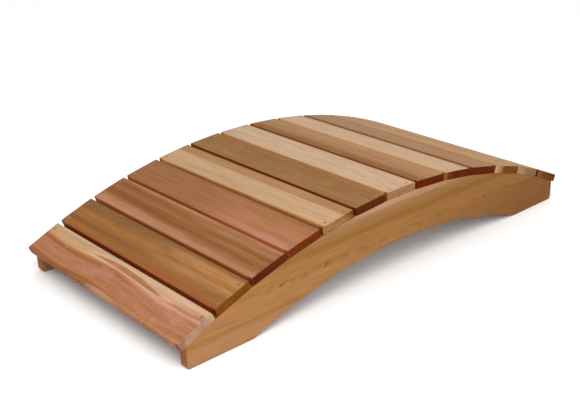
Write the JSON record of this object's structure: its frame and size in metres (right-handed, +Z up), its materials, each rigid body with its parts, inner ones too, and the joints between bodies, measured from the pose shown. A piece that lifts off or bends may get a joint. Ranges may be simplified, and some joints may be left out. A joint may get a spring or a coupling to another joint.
{
  "type": "arched garden footbridge",
  "caption": "Low arched garden footbridge: cedar planks laid crosswise over curved side stringers with flat-cut feet.",
  "frame": {"origin": "centre of the footprint, on the ground that the feet stand on", "axes": "+X along the bridge, towards the end of plank_13; +Y across it, towards the back stringer; +Z up"},
  "size_m": [1.219, 0.584, 0.2023],
  "materials": {
    "cedar_plank_01": "planed and oiled, pinkish with a pale sapwood edge",
    "cedar_plank_02": "planed and oiled, golden brown, streaked",
    "cedar_plank_03": "planed and oiled, brown heartwood",
    "cedar_plank_04": "planed and oiled, salmon brown",
    "cedar_plank_05": "planed and oiled, cream sapwood",
    "cedar_plank_06": "planed and oiled, olive brown heartwood",
    "cedar_plank_07": "planed and oiled, pale cream sapwood",
    "cedar_plank_08": "planed and oiled, brown heartwood",
    "cedar_plank_09": "planed and oiled, pale beige",
    "cedar_plank_10": "planed and oiled, pinkish brown",
    "cedar_plank_11": "planed and oiled, streaky tan",
    "cedar_plank_12": "planed and oiled, tan",
    "cedar_plank_13": "planed and oiled, tan brown",
    "cedar_stringer": "planed and oiled, honey brown with straight grain",
    "screws": "countersunk stainless screws, dulled"
  },
  "bodies": {
    "root": {"plank_01": "cedar_plank_01", "plank_02": "cedar_plank_02", "plank_03": "cedar_plank_03", "plank_04": "cedar_plank_04", "plank_05": "cedar_plank_05", "plank_06": "cedar_plank_06", "plank_07": "cedar_plank_07", "plank_08": "cedar_plank_08", "plank_09": "cedar_plank_09", "plank_10": "cedar_plank_10", "plank_11": "cedar_plank_11", "plank_12": "cedar_plank_12", "plank_13": "cedar_plank_13", "front_stringer": "cedar_stringer", "back_stringer": "cedar_stringer"}
  },
  "joints": []
}
